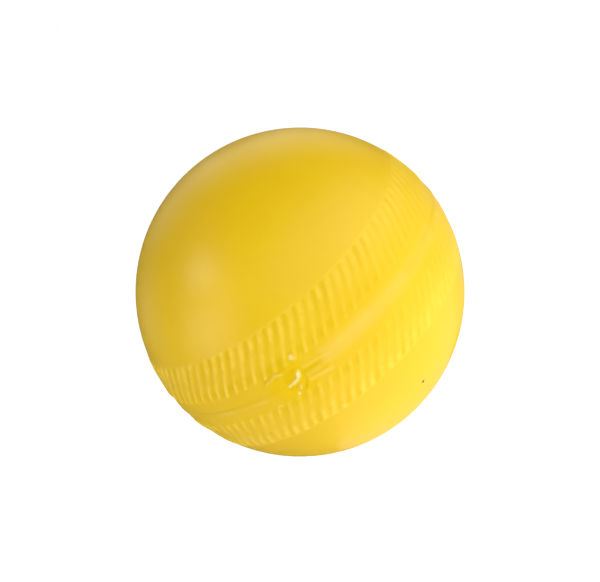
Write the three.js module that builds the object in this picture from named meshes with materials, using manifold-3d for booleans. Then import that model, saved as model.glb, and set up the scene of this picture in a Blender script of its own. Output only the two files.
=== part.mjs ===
// Plastic cricket ball: a hollow ball of two moulded half shells, welded along the seam,
// with a plug in the air hole. Millimetres, +Z up. The origin is the centre of the ball,
// the seam lies in the XY plane and the plug faces -Y.
import * as THREE from "three";
import { ParametricGeometry } from "three/addons/geometries/ParametricGeometry.js";
import { mergeVertices } from "three/addons/utils/BufferGeometryUtils.js";
import Module from "manifold-3d";

// Ball
const BALL_DIAMETER = 71.2; // over the smooth skin
const WALL = 3.2;

// Lap joint: a spigot under the upper rim slides inside the lower rim
const SPIGOT_HEIGHT = 3.0;
const SPIGOT_THICKNESS = 1.2;
const JOINT_CLEARANCE = 0.1;

// Weld bead in the V groove between the two rims
const WELD_WIDTH = 0.9; // across the mouth of the groove
const WELD_DEPTH = 0.9;
const WELD_RECESS = 0.12; // top of the bead below the skin
const WELD_CLEARANCE = 0.2; // along the radius, bead to groove

// Moulded stitches: a band of slanted ridges on each half, beside a smooth land along the seam
const LAND_WIDTH = 6.1; // from band to band, along the skin
const BAND_WIDTH = 9.3; // along the skin
const BAND_LIFT = 0.08; // floor between two stitches, above the skin
const BAND_ROOT = 1.0; // how deep a band is rooted in the wall
const STITCH_PITCH = 2.48; // along the middle of a band
const STITCH_GAP = 0.95; // floor from foot to foot
const STITCH_SLANT = THREE.MathUtils.degToRad(31); // from the meridian
const STITCH_HEIGHT = 0.45; // crest above the floor of the band
const STITCH_DIP = 0.2; // saddle half way along a crest
const STITCH_CREST_WIDTH = 0.55;
const STITCH_TOE = 1.5; // length of the slope at each end

// Two short pinch ribs that run along the seam from the plug's seat, one on each half
const PINCH_LENGTH = 6.2;
const PINCH_WIDTH = 0.6;
const PINCH_HEIGHT = 0.16;
const PINCH_ROOT = 0.3; // how deep a rib is rooted in the wall
const PINCH_LAND = 0.2; // from the weld groove to a rib
const PINCH_GAP = 0.4; // from the plug's seat to a rib

// Air hole through the seam, and the plug that closes it
const HOLE_DIAMETER = 3.4;
const HEAD_DIAMETER = 5.6;
const SEAT_DEPTH = 1.2; // of the head's seat, below the skin
const HEAD_LIP = 0.9; // from the head's edge to the dish that the sealing tool leaves
const DISH_DEPTH = 0.7;
const DISH_SLOPE = 0.7; // from the lip to the floor of the dish
const COLLAR_GRIP = 0.4; // how far the collar reaches past the hole, behind the wall
const COLLAR_HEIGHT = 0.7;
const TIP_DIAMETER = 2.2;
const TIP_HEIGHT = 0.9;
const SPOT_FACE_DEPTH = 0.2; // flat for the collar, cut into the inner skin
const PLUG_CLEARANCE = 0.1;

// Facets
const BALL_SEGMENTS = 44;
const OUTER_STEPS = 11; // seam to pole
const INNER_STEPS = 6;
const PLUG_SEGMENTS = 20;
const MERGE_DISTANCE = 1e-4;

// Worked out from the values above
const BALL_RADIUS = BALL_DIAMETER / 2;
const INNER_RADIUS = BALL_RADIUS - WALL;
const SPIGOT_RADIUS = INNER_RADIUS + SPIGOT_THICKNESS;
const WELD_ROOT_RADIUS = BALL_RADIUS - WELD_DEPTH;
const HOLE_RADIUS = HOLE_DIAMETER / 2;
const HEAD_RADIUS = HEAD_DIAMETER / 2;
const SEAT_RADIUS = HEAD_RADIUS + PLUG_CLEARANCE;
const SEAT_HEIGHT = BALL_RADIUS - SEAT_DEPTH; // heights on the plug are from the ball's centre
const COLLAR_RADIUS = HOLE_RADIUS + COLLAR_GRIP;
const SPOT_FACE_HEIGHT = INNER_RADIUS + SPOT_FACE_DEPTH;

const wasm = await Module();
wasm.setup();

// A closed geometry as a solid that can be joined and cut.
function solidOf(geometry) {
  const bare = geometry.clone();
  bare.deleteAttribute("normal");
  bare.deleteAttribute("uv");
  const merged = mergeVertices(bare, MERGE_DISTANCE);
  return new wasm.Manifold(
    new wasm.Mesh({
      numProp: 3,
      vertProperties: new Float32Array(merged.attributes.position.array),
      triVerts: new Uint32Array(merged.index.array),
    }),
  );
}

function geometryOf(solid) {
  const mesh = solid.getMesh();
  const geometry = new THREE.BufferGeometry();
  geometry.setAttribute("position", new THREE.BufferAttribute(mesh.vertProperties, 3));
  geometry.setIndex(new THREE.BufferAttribute(mesh.triVerts, 1));
  geometry.computeVertexNormals();
  return geometry;
}

const point = (radius, height) => new THREE.Vector2(radius, height);

const onCircle = (radius, latitude) => point(radius * Math.cos(latitude), radius * Math.sin(latitude));

// Points on a circle about the centre, from one latitude to another. A pole lies exactly on the axis.
function arc(radius, from, to, steps) {
  return Array.from({ length: steps + 1 }, (_, step) => {
    const latitude = THREE.MathUtils.lerp(from, to, step / steps);
    return latitude === Math.PI / 2 ? point(0, radius) : onCircle(radius, latitude);
  });
}

// A profile of (radius, z), which starts and ends on the axis or closes on itself.
function revolve(profile) {
  return new THREE.LatheGeometry(profile, BALL_SEGMENTS).rotateX(Math.PI / 2);
}

// A profile of (radius, height) about the plug's axis.
function revolveAboutPlug(profile) {
  return new THREE.LatheGeometry(profile, PLUG_SEGMENTS).rotateX(Math.PI);
}

// A place on the ball: longitude runs from the plug towards +X, latitude from the seam towards +Z.
function placeOnBall(target, radius, longitude, latitude) {
  const ring = radius * Math.cos(latitude);
  target.set(ring * Math.sin(longitude), -ring * Math.cos(longitude), radius * Math.sin(latitude));
}

// The plain half above the seam, with the rim's own profile between the inner and the outer skin.
function plainHalf(rim, innerLatitude) {
  const outerLatitude = Math.asin(WELD_WIDTH / 2 / BALL_RADIUS);
  const inner = arc(INNER_RADIUS, Math.PI / 2, innerLatitude, INNER_STEPS);
  const outer = arc(BALL_RADIUS, outerLatitude, Math.PI / 2, OUTER_STEPS);
  return revolve([...inner, ...rim, point(WELD_ROOT_RADIUS, 0), ...outer]);
}

// A band of stitches as one closed ring. Across it, each station has its place along the skin, its lift
// over the skin and its share of the stitch height. Round it, each stitch has two feet and two crest edges.
function stitchBand() {
  const start = LAND_WIDTH / 2;
  const end = start + BAND_WIDTH;
  const middle = (start + end) / 2;
  const saddle = 1 - STITCH_DIP / STITCH_HEIGHT;
  const across = [
    { along: start, lift: -BAND_ROOT / 2, share: 0 },
    { along: start + STITCH_TOE, lift: BAND_LIFT, share: 1 },
    { along: middle, lift: BAND_LIFT, share: saddle },
    { along: end - STITCH_TOE, lift: BAND_LIFT, share: 1 },
    { along: end, lift: -BAND_ROOT / 2, share: 0 },
    { along: middle, lift: -BAND_ROOT, share: 0 },
  ];
  const foot = (STITCH_PITCH - STITCH_GAP) / 2;
  const crest = STITCH_CREST_WIDTH / 2;
  const round = [
    { offset: -foot, height: 0 },
    { offset: -crest, height: STITCH_HEIGHT },
    { offset: crest, height: STITCH_HEIGHT },
    { offset: foot, height: 0 },
  ];
  const bandRadius = BALL_RADIUS * Math.cos(middle / BALL_RADIUS);
  const stitches = Math.round((2 * Math.PI * bandRadius) / STITCH_PITCH);
  const columns = stitches * round.length;
  const surface = (u, v, target) => {
    const column = Math.round(u * columns) % columns;
    const edge = round[column % round.length];
    const station = across[Math.round(v * across.length) % across.length];
    const turn = (2 * Math.PI * Math.floor(column / round.length)) / stitches;
    const lean = (station.along - middle) * Math.tan(STITCH_SLANT);
    const radius = BALL_RADIUS + station.lift + station.share * edge.height;
    placeOnBall(target, radius, turn + (lean + edge.offset) / bandRadius, station.along / BALL_RADIUS);
  };
  return new ParametricGeometry(surface, columns, across.length);
}

// A pinch rib above the seam: a ring of roof section, kept for its length on one side of the plug.
function pinchRib(side) {
  const base = BALL_RADIUS - PINCH_ROOT;
  const near = (WELD_WIDTH / 2 + PINCH_LAND) / BALL_RADIUS;
  const far = near + PINCH_WIDTH / BALL_RADIUS;
  const ring = revolve([
    onCircle(base, near),
    onCircle(BALL_RADIUS, near),
    onCircle(BALL_RADIUS + PINCH_HEIGHT, (near + far) / 2),
    onCircle(BALL_RADIUS, far),
    onCircle(base, far),
    onCircle(base, near),
  ]);
  const stretch = new THREE.BoxGeometry(PINCH_LENGTH, BALL_RADIUS, BALL_RADIUS);
  stretch.translate(side * (SEAT_RADIUS + PINCH_GAP + PINCH_LENGTH / 2), -BALL_RADIUS, 0);
  return solidOf(ring).intersect(solidOf(stretch));
}

// The seat for the head, the air hole and the spot face for the collar, as one stepped cut.
function plugCut() {
  const spotFaceRadius = COLLAR_RADIUS + PLUG_CLEARANCE;
  const outside = BALL_DIAMETER;
  return solidOf(
    revolveAboutPlug([
      point(0, 0),
      point(spotFaceRadius, 0),
      point(spotFaceRadius, SPOT_FACE_HEIGHT),
      point(HOLE_RADIUS, SPOT_FACE_HEIGHT),
      point(HOLE_RADIUS, SEAT_HEIGHT),
      point(SEAT_RADIUS, SEAT_HEIGHT),
      point(SEAT_RADIUS, outside),
      point(0, outside),
    ]),
  );
}

function upperHalfShell() {
  const spigot = [
    point(INNER_RADIUS, -SPIGOT_HEIGHT),
    point(SPIGOT_RADIUS, -SPIGOT_HEIGHT),
    point(SPIGOT_RADIUS, 0),
  ];
  const half = solidOf(plainHalf(spigot, 0)).add(solidOf(stitchBand())).add(pinchRib(1));
  return half.subtract(plugCut());
}

// The lower half is made seam down, as the upper one is, and turned over about the plug's axis.
function lowerHalfShell() {
  const floor = SPIGOT_HEIGHT + JOINT_CLEARANCE;
  const wall = SPIGOT_RADIUS + JOINT_CLEARANCE;
  const rebate = [point(wall, floor), point(wall, 0)];
  const innerLatitude = Math.asin(floor / INNER_RADIUS);
  const half = solidOf(plainHalf(rebate, innerLatitude)).add(solidOf(stitchBand())).add(pinchRib(-1));
  return solidOf(geometryOf(half).rotateY(Math.PI)).subtract(plugCut());
}

// The bead fills the V groove, less its clearance, and stops at the plug's seat.
function seamWeld() {
  const tip = WELD_ROOT_RADIUS + WELD_CLEARANCE;
  const top = BALL_RADIUS - WELD_RECESS;
  const halfWidth = ((top - tip) * WELD_WIDTH) / 2 / WELD_DEPTH;
  const bead = revolve([point(tip, 0), point(top, -halfWidth), point(top, halfWidth), point(tip, 0)]);
  return solidOf(bead).subtract(plugCut());
}

// A push-in plug: tapered tip, collar behind the wall, stem in the hole, dished head in its seat.
function airHolePlug() {
  const stemRadius = HOLE_RADIUS - PLUG_CLEARANCE;
  const dishRadius = HEAD_RADIUS - HEAD_LIP;
  const collarTop = SPOT_FACE_HEIGHT - PLUG_CLEARANCE;
  const collarFoot = collarTop - COLLAR_HEIGHT;
  const tip = collarFoot - TIP_HEIGHT;
  const headFoot = SEAT_HEIGHT + PLUG_CLEARANCE;
  const headEdge = Math.sqrt(BALL_RADIUS ** 2 - HEAD_RADIUS ** 2);
  const dishFloor = BALL_RADIUS - DISH_DEPTH;
  return revolveAboutPlug([
    point(0, tip),
    point(TIP_DIAMETER / 2, tip),
    point(COLLAR_RADIUS, collarFoot),
    point(COLLAR_RADIUS, collarTop),
    point(stemRadius, collarTop),
    point(stemRadius, headFoot),
    point(HEAD_RADIUS, headFoot),
    point(HEAD_RADIUS, headEdge),
    point(dishRadius, BALL_RADIUS),
    point(dishRadius - DISH_SLOPE, dishFloor),
    point(0, dishFloor),
  ]);
}

function plastic(color, roughness) {
  return new THREE.MeshStandardMaterial({ color, roughness, metalness: 0 });
}

function addPart(group, name, geometry, material) {
  const mesh = new THREE.Mesh(geometry, material);
  mesh.name = name;
  group.add(mesh);
}

const ball = new THREE.Group();
addPart(ball, "upper_half_shell", geometryOf(upperHalfShell()), plastic(0xefc51f, 0.38));
addPart(ball, "lower_half_shell", geometryOf(lowerHalfShell()), plastic(0xf3ca24, 0.38));
addPart(ball, "seam_weld", geometryOf(seamWeld()), plastic(0xe8b91a, 0.45));
addPart(ball, "air_hole_plug", airHolePlug(), plastic(0xf5d23a, 0.34));

export default ball;
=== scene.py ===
"""Looks of a plastic cricket ball: its fine skin, its finish, the studio and the camera.

A place on the ball is (along, across): millimetres along the seam from the middle of the plug
towards +X, and millimetres from the seam towards +Z, both counted on the plain skin. relief()
gives the height of the moulded skin over the plain ball at any such place, and every piece
takes its outer face from it, so the skin runs on from piece to piece. What differs between the
two halves is kept by side: 1 for the upper half and -1 for the lower one.
"""

import bpy
import numpy as np
from mathutils import Matrix, Vector


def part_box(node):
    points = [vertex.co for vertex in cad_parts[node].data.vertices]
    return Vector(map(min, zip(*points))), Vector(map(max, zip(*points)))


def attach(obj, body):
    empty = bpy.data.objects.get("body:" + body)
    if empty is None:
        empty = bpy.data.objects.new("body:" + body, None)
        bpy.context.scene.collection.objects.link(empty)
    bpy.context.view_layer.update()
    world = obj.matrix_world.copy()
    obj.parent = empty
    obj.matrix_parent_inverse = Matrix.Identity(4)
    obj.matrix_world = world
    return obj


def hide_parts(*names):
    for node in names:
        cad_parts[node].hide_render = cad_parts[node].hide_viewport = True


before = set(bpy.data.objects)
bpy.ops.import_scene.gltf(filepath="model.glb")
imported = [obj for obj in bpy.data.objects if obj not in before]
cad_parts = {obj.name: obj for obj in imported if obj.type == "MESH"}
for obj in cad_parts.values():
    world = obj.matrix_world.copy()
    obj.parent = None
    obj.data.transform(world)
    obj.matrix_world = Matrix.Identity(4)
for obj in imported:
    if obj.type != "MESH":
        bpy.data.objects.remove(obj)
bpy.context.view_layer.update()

MM = 0.001
SIDES = (1, -1)

# Ball, from the frame
shell_low, shell_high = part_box("upper_half_shell")
BALL_RADIUS = shell_high.z / MM
SPIGOT_HEIGHT = -shell_low.z / MM
GIRTH = 2 * np.pi * BALL_RADIUS
POLE = GIRTH / 4  # from the seam to a pole

# Wall, lap joint and weld
WALL = 3.2
INNER_RADIUS = BALL_RADIUS - WALL
SPIGOT_WALL = 1.2
SPIGOT_RADIUS = INNER_RADIUS + SPIGOT_WALL
JOINT_CLEARANCE = 0.1
WELD_DEPTH = 0.9
WELD_CLEARANCE = 0.2
FINE_GAP = 0.012  # from the weld and the plug to the half shells

# Rims of the half shells, and the fine line between the weld and the upper rim.
# A span is where something rises and over what length, then where it ends and over what length
RIM = 0.45  # from the seam to the edge of a half shell
RIM_CLIMB = 0.36  # how far the upper rim climbs
RIM_CLIMB_SPAN = (8, 34, 150, 50)  # in degrees from the plug
RIM_WAVE = 0.08  # how far it wanders
RIM_WAVES = ((7, 0.5, 0.3), (16, 0.35, 1.1), (37, 0.2, 2.6))
RIM_ROLL = 0.22  # width of its rolled edge
LINE_DEPTH = 0.04
LINE_WIDTH = 0.02  # where the line is open
LINE_WAVES = ((9, 0.35, 1.3), (23, 0.35, 0.2))
LINE_SHUT = 0.95  # share by which it is melted shut about the plug
LINE_SHUT_SPAN = (-20, 8, 54, 6)  # in degrees from the plug

# Bands of moulded stitches
STITCHES = 88
BAND_START = 3.05
BAND_END = 12.35
BAND_MIDDLE = (BAND_START + BAND_END) / 2
STITCH_PITCH = GIRTH / STITCHES
STITCH_REACH = 5.2  # how far a stitch runs along the seam
STITCH_BEND = 0.25  # share by which its slant grows half way along
STITCH_HEIGHT = 0.32  # over the land, at its end beside the seam
STITCH_FALL = 0.45  # share of its height lost towards the cap
STITCH_FADE = {1: 0.72, -1: 0.68}  # share lost on the +X side of the ball
STITCH_FADE_SPAN = (-14, 40, 80, 25)  # along the seam
STITCH_DIP = {1: 0.5, -1: 0.85}  # share lost at the saddle
STITCH_DIP_LENGTH = 2.4
STITCH_WIDTH = 0.58  # from the middle of a crest to where about a third of its height is left
STITCH_TIP = 0.75  # from the edge of the band to the start of a crest
STITCH_SLANT = np.radians(31)  # from square to the seam
STITCH_PHASE = {1: 0.42, -1: 0.63}  # place of a stitch, as a share of the pitch

# Gaps between the stitches
GAP_DEPTH = {1: 0.16, -1: 0.13}
GAP_RADIUS = 0.86
GAP_WALL = 0.8  # width of its sloping side
GAP_PAST = 0.15  # how far it reaches past the band
GAP_END = BAND_END + GAP_PAST - GAP_RADIUS
GAP_FADE = 0.3  # share of its depth lost on the +X side of the ball
GAP_FADE_SPAN = (20, 16, 80, 25)  # along the seam
GAP_FOOT_PLACE = 4.7  # pocket beside the seam, counted from it
GAP_FOOT_REACH = 1.3

# Unevenness from stitch to stitch: spreads of random draws, and the range of a gap's share of its depth
SEED = 7
HEIGHT_SPREAD = 0.14
SHIFT_SPREAD = 0.035
START_SPREAD = 0.16
END_SPREAD = 0.14
GAP_SHARES = (0.6, 1.2)

# Land along the seam
LIP_HEIGHT = 0.19
LIP_PLACE = -0.35
LIP_REACH = 1.5
LIP_WAVES = ((5, 0.12, 0.4), (11, 0.06, 2.0))

# Plug in the air hole
SEAT_RADIUS = 2.9
HEAD_RADIUS = SEAT_RADIUS - FINE_GAP
HOLE_RADIUS = 1.7
STEM_RADIUS = 1.6
SEAT_DEPTH = 1.2
COLLAR_RADIUS = 2.1
COLLAR_HEIGHTS = (31.8, 32.5)  # from the middle of the ball
TIP_RADIUS = 1.1
TIP_HEIGHT = 30.9
CLEARED_REACH = SEAT_RADIUS * 1.05  # about the plug, where the bands and the land give way

# Grid of the pieces. Rows of the skin are close at its rim and at the ends of the stitches: distance
# from the seam, and rows from there to the next distance
SKIN_ROWS = ((RIM, 4), (RIM + 0.5, 12), (BAND_START, 7), (4.4, 17), (11.0, 13))
SKIN_END = 12.9
STITCH_COLUMNS = 16
CAP_STEP = 4  # columns of the band for one of the cap
INNER_STEP = 16
CAP_ROWS = 26
INNER_START = 4.5
INNER_ROWS = 10
WELD_ROWS = 11
PLUG_COLUMNS = 128
PLUG_ROWS = 52
SEAT_BLEND = 8.0  # how far the grid bends round the plug's seat, across the seam
SEAT_BLEND_ALONG = 9.0  # and along it
SHARP_EDGE = np.radians(50)

random = np.random.default_rng(SEED)


def uneven(spread):
    """Random amount for each stitch of both bands, about 0."""
    return {side: spread * random.standard_normal(STITCHES) for side in SIDES}


stitch_height = uneven(HEIGHT_SPREAD)
stitch_shift = uneven(SHIFT_SPREAD)
stitch_start = uneven(START_SPREAD)
stitch_end = uneven(END_SPREAD)
gap_share = {side: random.uniform(*GAP_SHARES, STITCHES) for side in SIDES}


def ease(share):
    """Smooth step: 3 t^2 - 2 t^3, with t held between 0 and 1."""
    held = np.clip(share, 0, 1)
    return held * held * (3 - 2 * held)


def swell(place, start, rise, end, fall):
    """1 within a span, eased up over the rise after its start and down over the fall before its end."""
    return ease((place - start) / rise) * ease((end - place) / fall)


def bell(distance, reach):
    """Gaussian hump: exp(-(distance / reach)^2)."""
    return np.exp(-((distance / reach) ** 2))


def line_distance(along, across, points):
    """Distance to a bent line: the least distance to any of its straight stretches."""
    least = np.full(np.shape(along), np.inf)
    for (x0, y0), (x1, y1) in zip(points[:-1], points[1:]):
        run_x, run_y = x1 - x0, y1 - y0
        share = ((along - x0) * run_x + (across - y0) * run_y) / (run_x**2 + run_y**2)
        share = np.clip(share, 0, 1)
        away = np.hypot(along - x0 - share * run_x, across - y0 - share * run_y)
        least = np.minimum(least, away)
    return least


def slow_wave(along, waves):
    """Sum of sines round the ball: each wave is (times round, size, turn)."""
    angle = along / BALL_RADIUS
    return sum(size * np.sin(times * angle + turn) for times, size, turn in waves)


def stitch_lean(away):
    """How far a stitch has run along the seam at a distance from it: an S, steepest half way."""
    share = np.clip((away - BAND_START) / (BAND_END - BAND_START), 0, 1)
    return STITCH_REACH * (share - STITCH_BEND * np.sin(2 * np.pi * share) / (2 * np.pi))


def stitches(along, away, side):
    """One band: ridges with a rounded section, lower at a saddle half way along, towards the cap and on
    the +X side, less the gaps between them, which have a pocket beside the seam and a round one at
    the cap."""
    place = (along - side * stitch_lean(away)) / STITCH_PITCH - STITCH_PHASE[side]
    nearest = np.rint(place)
    which = nearest.astype(int) % STITCHES
    spread = STITCH_PITCH * np.cos(STITCH_SLANT) * np.cos(away / BALL_RADIUS)
    beside = (place - nearest - stitch_shift[side][which]) * spread
    start = BAND_START + STITCH_TIP + stitch_start[side][which]
    end = BAND_END - STITCH_TIP + stitch_end[side][which]
    beyond = np.maximum(np.maximum(start - away, away - end), 0)
    section = bell(np.hypot(beside, beyond), STITCH_WIDTH)
    saddle = 1 - STITCH_DIP[side] * bell(away - BAND_MIDDLE, STITCH_DIP_LENGTH)
    towards_cap = ease((away - BAND_START) / (BAND_END - BAND_START))
    crest = STITCH_HEIGHT * (1 + stitch_height[side][which]) * saddle * (1 - STITCH_FALL * towards_cap)
    crest = crest * (1 - STITCH_FADE[side] * swell(along, *STITCH_FADE_SPAN))

    from_gap = (0.5 - np.abs(place - nearest)) * spread
    past_gap = np.maximum(away - GAP_END, 0)
    gap = ease((GAP_RADIUS - np.hypot(from_gap, past_gap)) / GAP_WALL)
    ends = np.maximum(towards_cap, bell(away - GAP_FOOT_PLACE, GAP_FOOT_REACH))
    shallow = 1 - GAP_FADE * swell(along, *GAP_FADE_SPAN)
    depth = GAP_DEPTH[side] * gap_share[side][np.floor(place).astype(int) % STITCHES]
    return crest * section - depth * ends * gap * shallow


def land(along, across):
    """Smooth strip along the seam: a low rounded lip that wanders a little."""
    place = LIP_PLACE + slow_wave(along, LIP_WAVES)
    return LIP_HEIGHT * bell(across - place, LIP_REACH)


# Marks along the seam and beside the plug: each is a bent line, its height and its half width
SEAM_MARKS = (
    (((2.55, 0.75), (2.05, -0.1), (0.9, -0.62), (-0.2, -0.78), (-1.5, -0.8)), 0.16, 0.36),
    (((0.91, -1.74), (0.31, -2.49)), 0.13, 0.2),
    (((-1.4, -1.35), (-0.5, -1.6), (0.5, -1.5)), -0.24, 0.45),
    (((3.4, 0.6), (2.8, -0.6), (2.35, -1.6), (1.5, -2.5)), -0.2, 0.4),
    (((-4.9, 2.8), (-3.6, 2.95), (-2.4, 3.2), (-1.0, 3.2), (0.2, 3.3)), -0.17, 0.36),
    (((-4.7, 2.3), (-3.4, 2.45), (-2.1, 2.75), (-0.75, 2.55)), 0.14, 0.22),
    (((-5.0, 2.3), (-5.7, 1.6), (-6.3, 0.8)), 0.05, 0.16),
    (((3.86, 1.4), (6.5, 1.15), (9.8, 0.98)), 0.15, 0.24),
    (((4.0, 0.5), (7.4, 0.35)), -0.16, 0.28),
    (((3.66, -0.43), (6.45, -0.79)), 0.11, 0.22),
    (((3.9, -1.1), (7.5, -1.3)), -0.15, 0.28),
    (((3.56, -1.66), (6.5, -2.01), (9.0, -2.6)), 0.08, 0.45),
    (((-7.4, 0.6), (-10.8, 0.5), (-17.7, 0.7)), -0.05, 0.26),
    (((-8.3, -0.92), (-10.7, -0.65), (-13.0, -0.67)), -0.05, 0.24),
    (((-6.0, -3.0), (-5.2, -3.7)), 0.1, 0.24),
    (((-14.9, 2.6), (-14.0, 2.6)), -0.05, 0.2),
)
# Drops and dents: place along and across, height and half width
DROPS = (
    (3.28, 4.05, 0.28, 0.42),
    (-0.45, -2.98, 0.2, 0.3),
    (-3.85, 3.7, 0.1, 0.35),
    (-9.63, -0.4, 0.06, 0.3),
    (-13.0, -1.0, -0.05, 0.45),
    (-8.7, -0.9, -0.04, 0.3),
    (13.85, -0.3, -0.04, 0.4),
    (18.8, -0.3, -0.03, 0.5),
    (28.2, 0.3, 0.1, 0.32),
    (51.4, -0.5, 0.12, 0.3),
    (-18.9, -7.2, -0.2, 0.34),
    (-17.0, -8.5, -0.16, 0.3),
    (-13.5, -9.1, -0.16, 0.28),
)
# Crater of the plug: deepest beside the raised lip that curves round it, below and on +X
PIT_PLACE = (0.15, 1.15)
PIT_REACH = (2.0, 1.6)
PIT_LEAN = 0.45
PIT_DEPTH = 0.4
PIT_RIM = 1.18  # where the wall starts and how wide it is, as shares of the reach
PIT_WALL = 0.7
PIT_SHALLOW = 0.45  # share of the depth on the shallow side
PIT_SLOPE = (0.6, -0.8)  # direction in which it grows deeper
PIT_SLOPE_START = -2.2
PIT_SLOPE_LENGTH = 3.0


def crater(along, across):
    """Pit with a flat bottom: a leaning square with round corners, whose edge is where x^4 + y^4 is
    constant, shallower away from the lip."""
    x = (along - PIT_PLACE[0] - PIT_LEAN * (across - PIT_PLACE[1])) / PIT_REACH[0]
    y = (across - PIT_PLACE[1]) / PIT_REACH[1]
    wall = ease((PIT_RIM - (x**4 + y**4) ** 0.25) / PIT_WALL)
    downhill = PIT_SLOPE[0] * along + PIT_SLOPE[1] * across
    deep = ease((downhill - PIT_SLOPE_START) / PIT_SLOPE_LENGTH)
    return PIT_DEPTH * wall * (PIT_SHALLOW + (1 - PIT_SHALLOW) * deep)


def seam_marks(along, across):
    """Remelted plastic on the seam: the crater, and humps and grooves over the distance to bent lines."""
    height = -crater(along, across)
    for points, size, reach in SEAM_MARKS:
        height = height + size * bell(line_distance(along, across, points), reach)
    for x, y, size, reach in DROPS:
        height = height + size * bell(np.hypot(along - x, across - y), reach)
    return height


def relief(along, across):
    """Height of the moulded skin over the plain ball, in millimetres: the bands and the land, faded out
    about the plug, and the marks on the seam."""
    away = np.abs(across)
    ridges = np.where(across >= 0, stitches(along, away, 1), stitches(along, away, -1))
    clear = 1 - bell(np.hypot(along, across), CLEARED_REACH) ** 2
    return (ridges + land(along, across)) * clear + seam_marks(along, across)


def points_of(x, y, z):
    """Array of points from arrays of coordinates."""
    return np.stack(np.broadcast_arrays(x, y, z), -1)


def place_on_ball(radius, along, across):
    """Point at a radius: longitude is along / R from -Y towards +X, latitude is across / R."""
    longitude = along / BALL_RADIUS
    latitude = across / BALL_RADIUS
    ring = radius * np.cos(latitude)
    return points_of(ring * np.sin(longitude), -ring * np.cos(longitude), radius * np.sin(latitude))


def place_on_ring(radius, along, height):
    """Point on a cylinder about +Z: longitude is along / R from -Y towards +X."""
    longitude = along / BALL_RADIUS
    return points_of(radius * np.sin(longitude), -radius * np.cos(longitude), height)


def ring_faces(first, second, first_count, second_count):
    """Faces between two closed rings of points: squares where the counts are the same, one fan
    from a lone point, and fans of triangles where one ring has a whole number of times the points."""
    if first_count > second_count:
        return [face[:, ::-1] for face in ring_faces(second, first, second_count, first_count)]
    here = np.arange(first_count)
    there = (here + 1) % first_count
    if first_count == second_count:
        return [np.stack([first + here, second + here, second + there, first + there], -1)]
    if first_count == 1:
        outer = np.arange(second_count)
        beyond = (outer + 1) % second_count
        return [np.stack([np.full_like(outer, first), second + outer, second + beyond], -1)]
    step = second_count // first_count
    middle = step // 2
    fine = here[:, None] * step + np.arange(step)[None, :]
    corner = np.where(np.arange(step)[None, :] < middle, here[:, None], there[:, None])
    fans = np.stack([first + corner, second + fine, second + (fine + 1) % second_count], -1)
    gaps = np.stack([first + here, second + here * step + middle, first + there], -1)
    return [fans.reshape(-1, 3), gaps]


def solid_of_rings(name, rings, turned):
    """Closed mesh through a list of rings, from a point to a point. turned flips its faces."""
    starts = np.cumsum([0] + [len(ring) for ring in rings])
    faces = []
    for i in range(len(rings) - 1):
        faces += ring_faces(starts[i], starts[i + 1], len(rings[i]), len(rings[i + 1]))
    if turned:
        faces = [face[:, ::-1] for face in faces]
    return mesh_object(name, np.concatenate(rings), faces)


def mesh_object(name, points, faces):
    """Object at the origin, from points in millimetres and arrays of faces."""
    mesh = bpy.data.meshes.new(name)
    loops = np.concatenate([face.ravel() for face in faces]).astype(np.int32)
    sizes = np.concatenate([np.full(len(face), face.shape[1]) for face in faces]).astype(np.int32)
    mesh.vertices.add(len(points))
    mesh.vertices.foreach_set("co", (points * MM).astype(np.float32).ravel())
    mesh.loops.add(len(loops))
    mesh.loops.foreach_set("vertex_index", loops)
    mesh.polygons.add(len(sizes))
    mesh.polygons.foreach_set("loop_start", (np.cumsum(sizes) - sizes).astype(np.int32))
    mesh.polygons.foreach_set("loop_total", sizes)
    mesh.update(calc_edges=True)
    mesh.validate()
    mesh.shade_smooth()
    mesh.set_sharp_from_angle(angle=SHARP_EDGE)
    piece = bpy.data.objects.new(name, mesh)
    bpy.context.scene.collection.objects.link(piece)
    return piece


def rim_wander(along):
    """How far the upper rim lies off its line: it climbs on the +X side of the plug, and waves."""
    angle = np.degrees(along / BALL_RADIUS)
    return RIM_CLIMB * swell(angle, *RIM_CLIMB_SPAN) + RIM_WAVE * slow_wave(along, RIM_WAVES)


def line_opening(along):
    """How far the fine line above the weld is open: melted shut about the plug, uneven all round."""
    angle = np.degrees(along / BALL_RADIUS)
    shut = swell(angle, *LINE_SHUT_SPAN)
    return (1 + slow_wave(along, LINE_WAVES)) * (1 - LINE_SHUT * shut)


def seat_line(base, rim):
    """Edge of a half shell: straight along the seam, and half a circle round the plug's seat.
    Points keep an even spacing along it, so near the plug they are stretched by its extra length."""
    corner_angle = np.arccos(rim / SEAT_RADIUS)
    corner = SEAT_RADIUS * np.sin(corner_angle)
    bend = SEAT_RADIUS * corner_angle
    stretch = (bend + SEAT_BLEND_ALONG - corner) / SEAT_BLEND_ALONG
    walked = base * stretch
    turn = walked / SEAT_RADIUS
    straight = np.sign(base) * (corner + np.abs(walked) - bend)
    round_seat = np.abs(walked) < bend
    near = np.abs(base) < SEAT_BLEND_ALONG
    along = np.where(round_seat, SEAT_RADIUS * np.sin(turn), np.where(near, straight, base))
    away = np.where(round_seat, SEAT_RADIUS * np.cos(turn), rim)
    return along, away, round_seat


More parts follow.
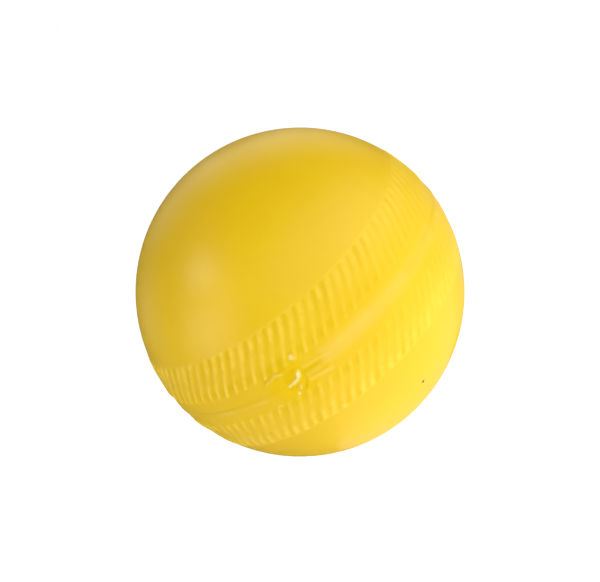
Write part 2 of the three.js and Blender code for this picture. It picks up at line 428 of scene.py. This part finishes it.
def joint_rings(side, along, away, at_seat):
    """Rings of a half shell's joint, from the outer edge of the lap to the inner skin: cylinders and flats
    of the lap, and round the plug's seat its floor and the wall of the hole."""
    lap = SPIGOT_RADIUS if side > 0 else SPIGOT_RADIUS + JOINT_CLEARANCE
    lap_end = -SPIGOT_HEIGHT if side > 0 else -SPIGOT_HEIGHT - JOINT_CLEARANCE
    seat_floor = BALL_RADIUS - SEAT_DEPTH
    hole = HOLE_RADIUS / SEAT_RADIUS
    steps = (
        (BALL_RADIUS - WELD_DEPTH, 0, seat_floor, 1),
        (lap, 0, seat_floor, hole),
        (lap, lap_end, SPIGOT_RADIUS, hole),
        (INNER_RADIUS, lap_end, INNER_RADIUS, hole),
    )
    return [
        np.where(
            at_seat[:, None],
            place_on_ball(depth, along * shrink, side * away * shrink),
            place_on_ring(radius, along, height),
        )
        for radius, height, depth, shrink in steps
    ]


def half_shell(name, side):
    """Half of the ball, pole to seam and back inside: rings of constant distance from the seam that
    lean with the stitches, bend round the plug's seat, and carry the relief on their radius."""
    columns = STITCHES * STITCH_COLUMNS
    base = (np.arange(columns) / columns - 0.5) * GIRTH
    edge = RIM + (rim_wander(base) if side > 0 else 0 * base)
    rim_along, rim_away, at_seat = seat_line(base, edge)
    row_ends = [start for start, count in SKIN_ROWS[1:]] + [SKIN_END]
    stretches = [
        np.linspace(start, end, count, endpoint=False)
        for (start, count), end in zip(SKIN_ROWS, row_ends)
    ]
    rows = np.concatenate([*stretches, [SKIN_END]])[:, None]
    share = np.clip((rows - RIM) / (SEAT_BLEND - RIM), 0, 1)
    away = np.where(share < 1, rim_away + (SEAT_BLEND - rim_away) * share, rows)
    along = rim_along + (base - rim_along) * share + side * stitch_lean(away)
    height = relief(along, side * away)
    if side > 0:
        roll = 1 - ease((away - rim_away) / RIM_ROLL)
        height = height - np.where(at_seat, 0, LINE_DEPTH * line_opening(along)) * roll
    skin = place_on_ball(BALL_RADIUS + height, along, side * away)

    cap_base = base[::CAP_STEP] + side * STITCH_REACH
    cap_away = np.linspace(SKIN_END, POLE, CAP_ROWS + 2)[1:-1]
    cap = [place_on_ball(BALL_RADIUS, cap_base, side * row) for row in cap_away]
    pole = np.array([[0, 0, side * BALL_RADIUS]])

    inner_away = np.linspace(INNER_START, POLE, INNER_ROWS + 1)[:-1]
    inner = [place_on_ball(INNER_RADIUS, base[::INNER_STEP], side * row) for row in inner_away]
    inner_pole = np.array([[0, 0, side * INNER_RADIUS]])
    joint = joint_rings(side, rim_along, rim_away, at_seat)
    rings = [pole, *cap[::-1], *skin[::-1], *joint, *inner, inner_pole]
    return solid_of_rings(name, rings, side < 0)


def seam_weld(name):
    """Bead in the groove between the halves: a section of a near flush top and a pointed foot,
    carried round the seam from one side of the plug's seat to the other."""
    columns = STITCHES * STITCH_COLUMNS
    start = np.sqrt(SEAT_RADIUS**2 - RIM**2) + FINE_GAP
    along = np.linspace(start, GIRTH - start, columns)[:, None]
    along = np.where(along > GIRTH / 2, along - GIRTH, along)
    low = -RIM + FINE_GAP
    high = RIM + rim_wander(along) - FINE_GAP - LINE_WIDTH * line_opening(along)
    across = low + (high - low) * np.linspace(0, 1, WELD_ROWS)[None, :]
    roll = 1 - ease((high - across) / RIM_ROLL)
    top = BALL_RADIUS + relief(along, across) - LINE_DEPTH * line_opening(along) * roll
    foot = place_on_ring(BALL_RADIUS - WELD_DEPTH + WELD_CLEARANCE, along, 0)
    points = np.concatenate([place_on_ball(top, along, across), foot], 1)
    width = points.shape[1]
    section_start = np.arange(columns - 1)[:, None] * width
    here = section_start + np.arange(width)
    there = section_start + (np.arange(width) + 1) % width
    sides = np.stack([here, here + width, there + width, there], -1).reshape(-1, 4)
    ends = np.stack([np.arange(width), (columns - 1) * width + np.arange(width)[::-1]])
    return mesh_object(name, points.reshape(-1, 3), [sides, ends])


def air_hole_plug(name):
    """Plug about -Y: a disc in rings that carries the relief, then head, stem, collar and tip."""
    turn = np.arange(PLUG_COLUMNS) / PLUG_COLUMNS * 2 * np.pi
    radius = np.linspace(0, HEAD_RADIUS, PLUG_ROWS + 1)[1:, None]
    along, across = radius * np.sin(turn), radius * np.cos(turn)
    skin = place_on_ball(BALL_RADIUS + relief(along, across), along, across)
    centre = np.zeros(1)
    middle = place_on_ball(BALL_RADIUS + relief(centre, centre), centre, centre)
    head_foot = BALL_RADIUS - SEAT_DEPTH + JOINT_CLEARANCE
    profile = (
        (HEAD_RADIUS, head_foot),
        (STEM_RADIUS, head_foot),
        (STEM_RADIUS, COLLAR_HEIGHTS[1]),
        (COLLAR_RADIUS, COLLAR_HEIGHTS[1]),
        (COLLAR_RADIUS, COLLAR_HEIGHTS[0]),
        (TIP_RADIUS, TIP_HEIGHT),
    )
    body = [points_of(ring * np.sin(turn), -height, ring * np.cos(turn)) for ring, height in profile]
    tip = np.array([[0, -TIP_HEIGHT, 0]])
    return solid_of_rings(name, [middle, *skin, *body, tip], True)


class Wire:
    """A node's output. Sums and products of wires and numbers add Math nodes."""

    def __init__(self, finish, socket):
        self.finish = finish
        self.socket = socket

    def math(self, operation, first, second):
        return self.finish.node("ShaderNodeMath", {"operation": operation}, {0: first, 1: second})

    def __add__(self, other):
        return self.math("ADD", self, other)

    def __radd__(self, other):
        return self.math("ADD", other, self)

    def __sub__(self, other):
        return self.math("SUBTRACT", self, other)

    def __rsub__(self, other):
        return self.math("SUBTRACT", other, self)

    def __mul__(self, other):
        return self.math("MULTIPLY", self, other)

    def __rmul__(self, other):
        return self.math("MULTIPLY", other, self)

    def __abs__(self):
        return self.math("ABSOLUTE", self, 0)


# Sockets of the Mix and the Vector Math node, by number
MIX_COLOURS = (6, 7)
MIX_COLOUR_OUT = 2
VECTOR_SCALE = 3
VECTOR_NUMBER_OUT = 1


class Finish:
    """Nodes of a material or of the sky. node() adds any node: its settings first, then its inputs."""

    def __init__(self, owner):
        self.owner = owner
        owner.use_nodes = True
        self.tree = owner.node_tree
        self.tree.nodes.clear()

    def node(self, kind, settings, inputs, output=0):
        made = self.tree.nodes.new(kind)
        for key, value in settings.items():
            if key == "stops":
                self.set_stops(made.color_ramp, value)
            else:
                setattr(made, key, value)
        for key, value in inputs.items():
            if isinstance(value, Wire):
                self.tree.links.new(value.socket, made.inputs[key])
            else:
                made.inputs[key].default_value = value
        return Wire(self, made.outputs[output]) if made.outputs else None

    def set_stops(self, ramp, stops):
        """Places and colours of a ramp's two stops."""
        for element, (position, colour) in zip(ramp.elements, stops):
            element.position = position
            element.color = colour

    def noise(self, place, scale, detail, roughness=0.5):
        inputs = {"Vector": place, "Scale": scale, "Detail": detail, "Roughness": roughness}
        return self.node("ShaderNodeTexNoise", {}, inputs)

    def smooth(self, value, low, high, kind="SMOOTHSTEP"):
        """0 below low, 1 above high, with an eased slope between, or a straight one."""
        inputs = {"Value": value, "From Min": low, "From Max": high}
        return self.node("ShaderNodeMapRange", {"interpolation_type": kind}, inputs)

    def blend(self, share, first, second):
        """Colour between two colours."""
        inputs = {0: share, MIX_COLOURS[0]: first, MIX_COLOURS[1]: second}
        return self.node("ShaderNodeMix", {"data_type": "RGBA"}, inputs, MIX_COLOUR_OUT)

    def vector(self, operation, first, second=None, output=0):
        """Vector maths that gives a vector. SCALE takes a number second."""
        inputs = {0: first}
        if second is not None:
            inputs[VECTOR_SCALE if operation == "SCALE" else 1] = second
        return self.node("ShaderNodeVectorMath", {"operation": operation}, inputs, output)

    def measure(self, operation, first, second=None):
        """Vector maths that gives a number: a length, a distance or a dot product."""
        return self.vector(operation, first, second, VECTOR_NUMBER_OUT)

    def near_line(self, place, start, end, reach):
        """1 on a straight line between two points, eased to 0 at a reach from it."""
        run = end - start
        from_start = self.vector("SUBTRACT", place, tuple(start))
        walked = self.measure("DOT_PRODUCT", from_start, tuple(run / (run @ run)))
        held = self.node("ShaderNodeClamp", {}, {"Value": walked})
        foot = self.vector("SCALE", tuple(run), held)
        return 1 - self.smooth(self.measure("DISTANCE", from_start, foot), 0, reach)

    def close(self, shader, output="ShaderNodeOutputMaterial"):
        """Joins a shader to the output, and gives back the material or the sky."""
        self.node(output, {}, {"Surface": shader})
        return self.owner


# Colour of the plastic, with painted highlights and painted shade: a noise is its scale, detail and
# roughness, and a range is the two values between which something comes or goes
NOISE_MIDDLE = 0.5
MOTTLE_NOISE = (45, 3)
CLOUD_NOISE = (160, 4, 0.6)
CLOUD_SHARE = 0.3  # of the mottling
MOTTLE_RANGE = (0.35, 0.68)
BAND_NEAR_EDGE = (2.4 * MM, 3.4 * MM)  # range of a band's painted light and shade, from the plane of the seam
BAND_FAR_EDGE = (11.8 * MM, 12.6 * MM)
# Painted highlight on the crests of the stitches: patchy, and stronger towards the cap where the ridges
# are lower
CREST_HIGHLIGHT_COLOUR = (1.0, 0.68, 0.06, 1)
CREST_RANGE = (0.02 * MM, 0.34 * MM)  # height over the plain ball
CREST_BOOST = 0.14 * MM  # height added towards the cap, where the ridges are lower
CREST_BOOST_RANGE = (4 * MM, 11 * MM)
PATCH_NOISE = (420, 2, 0.6)
PATCH_RANGE = (0.36, 0.62)
PATCH_LEAST = 0.55  # share of the crest's colour between patches, and what a patch adds
PATCH_ADDS = 0.75
# Painted shade in the gaps that are sunk between the stitches
GAP_SHADE_COLOUR = (0.74, 0.445, 0.001, 1)
GAP_RANGE = (-0.15 * MM, -0.05 * MM)
GAP_SHADE_SHARE = 0.24
# Painted shade in the plug's pit
PIT_SHADE_COLOUR = (0.84, 0.525, 0.002, 1)
PIT_RANGE = (-0.3 * MM, -0.05 * MM)
PLUG_PLACE = (0, -BALL_RADIUS * MM, 0)
MELT_RANGE = (3.6 * MM, 6.4 * MM)  # remelted plastic about the plug, and where it has faded out
FLECK_ANGLES = np.radians((35.0, -38.4))  # round the seam from the plug, and from the seam
FLECK_PLACE = place_on_ball(BALL_RADIUS, *(FLECK_ANGLES * BALL_RADIUS)) * MM
FLECK_NOISE = (3200, 2)
FLECK_RAGGED = 0.4 * MM
FLECK_RANGE = (0.3 * MM, 0.42 * MM)
FLECK_COLOUR = (0.03, 0.022, 0.012, 1)

# Painted highlights with a painted glow on the plug's lip, on drops and ribs beside it and softly along
# the
# land: a line from place to place, its reach and its share of white
PAINTED_HIGHLIGHTS = (
    ((2.5, 1.25), (2.2, 0.85), 0.45, 0.6),
    ((2.2, 0.85), (1.75, 0.3), 0.7, 1.0),
    ((1.75, 0.3), (1.2, -0.25), 0.5, 0.75),
    ((1.2, -0.25), (0.2, -0.43), 0.48, 0.75),
    ((0.2, -0.43), (-1.0, -0.5), 0.36, 0.65),
    ((3.25, 4.5), (3.05, 4.2), 0.7, 0.65),
    ((0.95, -1.65), (0.45, -2.3), 0.42, 0.35),
    ((-0.4, -2.9), (-0.5, -3.05), 0.55, 0.6),
    ((-0.7, 2.5), (-1.9, 2.95), 0.45, 0.26),
    ((-2.1, 2.95), (-2.9, 2.7), 0.5, 0.2),
    ((-3.3, 2.55), (-4.6, 2.2), 0.45, 0.11),
    ((-3.6, 3.7), (-3.8, 3.65), 0.45, 0.16),
    ((-32.0, 0.0), (-18.0, -0.2), 0.9, 0.07),
    ((-18.0, -0.2), (-7.4, -0.8), 0.8, 0.09),
    ((-5.8, -3.2), (-5.1, -3.7), 0.45, 0.14),
    ((3.8, 1.4), (8.6, 1.05), 0.7, 0.1),
    ((3.6, -0.43), (6.2, -0.8), 0.7, 0.1),
    ((3.5, -1.66), (8.0, -2.4), 0.9, 0.1),
    ((9.0, 0.6), (20.0, 0.6), 2.8, 0.14),
    ((20.0, 0.6), (31.0, 0.2), 2.8, 0.11),
    ((31.0, 0.2), (44.0, 0.3), 2.8, 0.07),
    ((28.2, 0.3), (28.3, 0.3), 0.5, 0.25),
    ((51.4, -0.5), (51.5, -0.5), 0.5, 0.5),
)
# Colour of the painted highlights
HIGHLIGHT_COLOUR = (1.0, 0.84, 0.38, 1)
HIGHLIGHT_GLOW = (0.17, 0.13, 0.05, 1)  # painted glow that brightens the painted highlights
NO_GLOW = (0, 0, 0, 1)

# Surface of the plastic
SKIN_GLOSS = 0.36  # roughness of the moulded skin and of the remelted plastic
MELT_GLOSS = 0.1
SKIN_COAT = 0.75  # strength of the gloss
HAIR_COAT_LOSS = 0.15  # what hair scratches take off it
STEEP_COAT_LOSS = 0.8  # shares lost on steep sides, between the caps and in the pit
SEAM_COAT_LOSS = 0.25
PIT_COAT_LOSS = 0.8
STEEP_RANGE = (0.93, 0.99)  # how far the relief faces outward, where it is steep and where it isn't
BODY_ROUGHNESS = 0.55
CLOUD_ROUGHNESS = 0.2
HAIR_ROUGHNESS = 0.1
HAIR_TURN = (0.4, 0.9, 0.3)
HAIR_STRETCH = (1, 14, 1)
HAIR_NOISE = (260, 5, 0.65)
HAIR_RANGE = (0.6, 0.78)
HAIR_DEPTH = 0.5  # as a share of the orange peel
PEEL_NOISE = (900, 3, 0.55)
PEEL_STRENGTH = 0.35
PEEL_HEIGHT = 0.06 * MM
GLOW_SHARE = 0.88  # how far light that spreads inside the plastic evens out the shading of the relief


def paint_band_light_and_shade(finish, skin, place, lift, from_seam, seam_side):
    """Skin with a band's painted light and shade: a patchy painted highlight where it is raised, painted
    shade in the gaps where it is sunk.
    """
    in_band = finish.smooth(from_seam, *BAND_NEAR_EDGE) * seam_side
    boosted = lift + finish.smooth(from_seam, *CREST_BOOST_RANGE) * CREST_BOOST
    raised = finish.smooth(boosted, *CREST_RANGE, "LINEAR")
    patches = finish.smooth(finish.noise(place, *PATCH_NOISE), *PATCH_RANGE)
    # painted highlight on the crests
    crest = in_band * raised * (PATCH_LEAST + PATCH_ADDS * patches)
    skin = finish.blend(crest, skin, CREST_HIGHLIGHT_COLOUR)
    # painted shade in the sunk gaps
    sunk = (1 - finish.smooth(lift, *GAP_RANGE)) * in_band
    return finish.blend(sunk * GAP_SHADE_SHARE, skin, GAP_SHADE_COLOUR)


def painted_highlight_share(finish, outward):
    """Share of the painted highlight: the most that any line gives at this place."""
    on_ball = finish.vector("SCALE", outward, BALL_RADIUS * MM)
    highlight_share = 0
    for start, end, reach, white in PAINTED_HIGHLIGHTS:
        points = [place_on_ball(BALL_RADIUS, *point) * MM for point in (start, end)]
        near = white * finish.near_line(on_ball, *points, reach * MM)
        highlight_share = near.math("MAXIMUM", near, highlight_share)
    return highlight_share


def add_fleck(finish, skin, place):
    """Skin with one dark ragged grain caught in it."""
    away = finish.measure("DISTANCE", place, tuple(FLECK_PLACE))
    ragged = away + (finish.noise(place, *FLECK_NOISE) - NOISE_MIDDLE) * FLECK_RAGGED
    return finish.blend(1 - finish.smooth(ragged, *FLECK_RANGE), skin, FLECK_COLOUR)


def hair_scratches(finish, place):
    """1 in hair scratches: the peaks of a noise that is stretched one way."""
    inputs = {"Vector": place, "Rotation": HAIR_TURN, "Scale": HAIR_STRETCH}
    stretched = finish.node("ShaderNodeMapping", {}, inputs)
    return finish.smooth(finish.noise(stretched, *HAIR_NOISE), *HAIR_RANGE)


def body_normal(finish, place, facing, outward, hairs):
    """Normal of the body: between the relief's and the plain ball's, with orange peel and scratches."""
    skin_share = finish.vector("SCALE", facing, 1 - GLOW_SHARE)
    ball_share = finish.vector("SCALE", outward, GLOW_SHARE)
    even = finish.vector("NORMALIZE", finish.vector("ADD", skin_share, ball_share))
    inputs = {
        "Strength": PEEL_STRENGTH,
        "Distance": PEEL_HEIGHT,
        "Height": finish.noise(place, *PEEL_NOISE) - hairs * HAIR_DEPTH,
        "Normal": even,
    }
    return finish.node("ShaderNodeBump", {}, inputs)


def moulded_plastic(name, colour, pale, fleck=False):
    """Waxy yellow plastic: a body that light spreads in, so its shading follows the ball more than the
    relief, under a skin that follows the relief and is glossy where it was melted about the plug. The
    body has slow mottling, painted highlights on the crests and painted shade in the gaps of the bands,
    painted shade in the plug's pit and painted highlights with a painted glow on the plug's lip, drops,
    ribs and land, with a fine orange peel and hair scratches. fleck adds a dark grain."""
    finish = Finish(bpy.data.materials.new(name))
    place = finish.node("ShaderNodeTexCoord", {}, {}, "Object")
    outward = finish.vector("NORMALIZE", place)
    facing = finish.node("ShaderNodeNewGeometry", {}, {}, "Normal")
    lift = finish.measure("LENGTH", place) - BALL_RADIUS * MM
    from_seam = abs(finish.node("ShaderNodeSeparateXYZ", {}, {"Vector": place}, "Z"))
    seam_side = 1 - finish.smooth(from_seam, *BAND_FAR_EDGE)
    far = finish.smooth(finish.measure("DISTANCE", place, PLUG_PLACE), *MELT_RANGE)
    deep = (1 - finish.smooth(lift, *PIT_RANGE)) * (1 - far)
    steep = 1 - finish.smooth(finish.measure("DOT_PRODUCT", facing, outward), *STEEP_RANGE)
    hairs = hair_scratches(finish, place)

    cloud = finish.noise(place, *CLOUD_NOISE)
    mottle = finish.noise(place, *MOTTLE_NOISE) * (1 - CLOUD_SHARE) + cloud * CLOUD_SHARE
    skin = finish.blend(finish.smooth(mottle, *MOTTLE_RANGE), colour, pale)
    # painted highlights on the crests and painted shade in the gaps of the bands
    skin = paint_band_light_and_shade(finish, skin, place, lift, from_seam, seam_side)
    # painted shade in the plug's pit
    skin = finish.blend(deep, skin, PIT_SHADE_COLOUR)
    # painted highlights on the plug's lip, drops, ribs and along the land
    highlight_share = painted_highlight_share(finish, outward)
    skin = finish.blend(highlight_share, skin, HIGHLIGHT_COLOUR)
    if fleck:
        skin = add_fleck(finish, skin, place)

    # painted glow over the painted highlights, though the part is no lamp
    glow = finish.blend(highlight_share, NO_GLOW, HIGHLIGHT_GLOW)
    normal = body_normal(finish, place, facing, outward, hairs)
    roughness = BODY_ROUGHNESS + (cloud - NOISE_MIDDLE) * CLOUD_ROUGHNESS + hairs * HAIR_ROUGHNESS
    coat = (1 - steep * STEEP_COAT_LOSS) * (1 - seam_side * SEAM_COAT_LOSS) * (1 - deep * PIT_COAT_LOSS)
    coat = coat * (SKIN_COAT - hairs * HAIR_COAT_LOSS)
    melted, moulded = [
        finish.node(
            "ShaderNodeBsdfPrincipled",
            {},
            {
                "Base Color": skin,
                "Roughness": roughness,
                "Specular IOR Level": 0.04,
                "Normal": normal,
                "Coat Weight": coat,
                "Coat Roughness": gloss,
                "Coat IOR": 1.5,
                "Emission Color": glow,
                "Emission Strength": 1.0,
            },
        )
        for gloss in (MELT_GLOSS, SKIN_GLOSS)
    ]
    return finish.close(finish.node("ShaderNodeMixShader", {}, {0: far, 1: melted, 2: moulded}))


# Camera: as far off as the photograph's perspective asks, turned about its own axis
VIEW_AZIMUTH = np.radians(21.0)
VIEW_ELEVATION = np.radians(21.3)
VIEW_ROLL = np.radians(41.5)
VIEW_DISTANCE = 8 * BALL_RADIUS * MM
VIEW_LENS = 78.4
IMAGE_WIDTH = 600
VIEW_SHIFT = 1 / IMAGE_WIDTH  # one pixel
VIEW_CLIP = 0.01

UP = Vector((0, 0, 1))
level_right = Vector((np.cos(VIEW_AZIMUTH), np.sin(VIEW_AZIMUTH), 0))
level_ahead = Vector((np.sin(VIEW_AZIMUTH), -np.cos(VIEW_AZIMUTH), 0))  # from the ball to below the camera
towards = level_ahead * np.cos(VIEW_ELEVATION) + UP * np.sin(VIEW_ELEVATION)
level_up = towards.cross(level_right)
view_up = level_up * np.cos(VIEW_ROLL) + level_right * np.sin(VIEW_ROLL)


def look(place, back, up):
    """Placing matrix of something that looks along -back, with up upwards."""
    right = up.cross(back).normalized()
    turned = Matrix((right, back.cross(right), back)).transposed().to_4x4()
    return Matrix.Translation(place) @ turned


def add_camera():
    camera = bpy.data.objects.new("camera", bpy.data.cameras.new("camera"))
    camera.data.lens = VIEW_LENS
    camera.data.shift_y = VIEW_SHIFT
    camera.data.clip_start = VIEW_CLIP
    camera.matrix_world = look(towards * VIEW_DISTANCE, towards, view_up)
    bpy.context.scene.collection.objects.link(camera)
    bpy.context.scene.camera = camera


FLOOR_REACH = 6.0
FLOOR_GLOW = 0.95
CARD_LIFT = 0.0004  # of a light that lies on the floor
WALL_RADIUS = 1.1
WALL_HEIGHT = 3.0
WALL_COLUMNS = 64
WALL_GLOW = 1.05
SKY_STOPS = ((0, (0.06, 0.06, 0.06, 1)), (1, (0.04, 0.04, 0.04, 1)))


def area_light(name, width, height, power, placing):
    """Soft rectangular light that the camera doesn't see."""
    lamp = bpy.data.lights.new(name, "AREA")
    lamp.shape = "RECTANGLE"
    lamp.size = width
    lamp.size_y = height
    lamp.energy = power
    light = bpy.data.objects.new(name, lamp)
    light.matrix_world = placing
    light.visible_camera = False
    bpy.context.scene.collection.objects.link(light)
    return light


def softbox(name, bearing, elevation, distance, width, height, power, lit=True, mirrored=True):
    """Soft light that faces the ball: its bearing is counted from below the camera to the right, and its
    elevation from the floor, both in degrees. One that isn't mirrored lights the ball with no sheen, and
    one that leaves the ball unlit gives sheen alone."""
    turn, rise = np.radians(bearing), np.radians(elevation)
    level = level_ahead * np.cos(turn) + level_right * np.sin(turn)
    back = level * np.cos(rise) + UP * np.sin(rise)
    box = area_light(name, width, height, power, look(back * distance, back, UP))
    box.visible_diffuse = lit
    box.visible_glossy = mirrored


def floor_card(name, right, ahead, width, depth, power):
    """Soft light that lies on the floor and shines up: its middle is counted from below the ball, to the
    right of the camera and towards it, in metres."""
    place = level_right * right + level_ahead * ahead - UP * (BALL_RADIUS * MM - CARD_LIFT)
    area_light(name, width, depth, power, look(place, -UP, level_ahead))


def glowing_sheet(name, strength):
    """Pale sheet that glows evenly, like one lit from behind."""
    finish = Finish(bpy.data.materials.new(name))
    inputs = {
        "Base Color": (0.3, 0.3, 0.3, 1),
        "Roughness": 0.9,
        "Specular IOR Level": 0.0,
        "Emission Color": (1, 1, 1, 1),
        "Emission Strength": strength,
    }
    return finish.close(finish.node("ShaderNodeBsdfPrincipled", {}, inputs))


def add_floor():
    """Pale floor, level with the lowest point of the ball. It lights the ball, with no sheen."""
    corners = np.array([[-1, -1, 0], [1, -1, 0], [1, 1, 0], [-1, 1, 0]]) * FLOOR_REACH / MM
    corners[:, 2] = -BALL_RADIUS
    floor = mesh_object("floor", corners, [np.array([[0, 1, 2, 3]])])
    floor.data.materials.append(glowing_sheet("pale_floor", FLOOR_GLOW))
    floor.visible_glossy = False


def add_wall():
    """Pale wall round the floor, a ring carried straight up. It is a backdrop and lights nothing."""
    turn = np.arange(WALL_COLUMNS) / WALL_COLUMNS * 2 * np.pi
    ring = points_of(np.cos(turn), np.sin(turn), 0) * WALL_RADIUS / MM
    foot = ring - [0, 0, BALL_RADIUS]
    top = ring + [0, 0, WALL_HEIGHT / MM]
    faces = ring_faces(0, WALL_COLUMNS, WALL_COLUMNS, WALL_COLUMNS)
    wall = mesh_object("wall", np.concatenate([foot, top]), faces)
    wall.data.materials.append(glowing_sheet("pale_wall", WALL_GLOW))
    wall.visible_diffuse = False
    wall.visible_glossy = False
    wall.visible_shadow = False


def add_sky():
    """Dim air of the studio: paler at the horizon than overhead."""
    sky = Finish(bpy.data.worlds.new("studio"))
    direction = sky.node("ShaderNodeTexCoord", {}, {}, "Generated")
    height = sky.node("ShaderNodeSeparateXYZ", {}, {"Vector": direction}, "Z")
    tone = sky.node("ShaderNodeValToRGB", {"stops": SKY_STOPS}, {"Fac": height})
    glow = sky.node("ShaderNodeBackground", {}, {"Color": tone})
    bpy.context.scene.world = sky.close(glow, "ShaderNodeOutputWorld")


shell_finish = moulded_plastic("shell_plastic", (0.88, 0.56, 0.003, 1), (0.9, 0.59, 0.005, 1), fleck=True)
weld_finish = moulded_plastic("weld_plastic", (0.86, 0.545, 0.003, 1), (0.88, 0.575, 0.005, 1))
plug_finish = moulded_plastic("plug_plastic", (0.88, 0.565, 0.004, 1), (0.91, 0.6, 0.008, 1))

pieces = (
    (half_shell("upper_half_skin", 1), "upper_half_shell", "shell_plastic", shell_finish),
    (half_shell("lower_half_skin", -1), "lower_half_shell", "shell_plastic", shell_finish),
    (seam_weld("seam_bead"), "seam_weld", "weld_plastic", weld_finish),
    (air_hole_plug("plug_head"), "air_hole_plug", "plug_plastic", plug_finish),
)
for piece, node, slot, finish in pieces:
    piece.data.materials.append(finish)
    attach(piece, "root")
    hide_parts(node)

add_camera()
add_floor()
add_wall()
add_sky()
# Bearing and elevation in degrees, distance, width and height in metres, power in watts
softbox("front_panel", 27, 32, 0.9, 1.4, 0.8, 5.85, mirrored=False)
softbox("right_panel", 70, 15, 0.9, 1.0, 0.6, 2.26)
softbox("left_panel", -135, 14, 0.7, 0.35, 0.3, 0.16)
softbox("left_fill", -135, 65, 0.9, 0.5, 0.5, 0.4, mirrored=False)
softbox("upper_window", -83, 55, 0.56, 0.16, 0.16, 0.46)
softbox("middle_window", -60, 36, 0.56, 0.14, 0.36, 0.4, lit=False)
softbox("lower_window", -78, 22, 0.56, 0.28, 0.24, 0.5)
softbox("back_right", 148, 17, 0.9, 0.5, 0.5, 0.57)
softbox("back_top", 160, 35, 0.9, 0.5, 0.5, 0.57)
softbox("back_left", -172, 30, 0.9, 0.5, 0.5, 0.52)
# Place to the right and ahead, width and depth in metres, power in watts
floor_card("right_card", 0.06, -0.05, 0.12, 0.1, 0.0154)
floor_card("side_card", 0.095, -0.03, 0.14, 0.14, 0.0099)
floor_card("near_card", 0.02, 0.05, 0.08, 0.08, 0.01)
bpy.context.scene.view_settings.view_transform = "Standard"
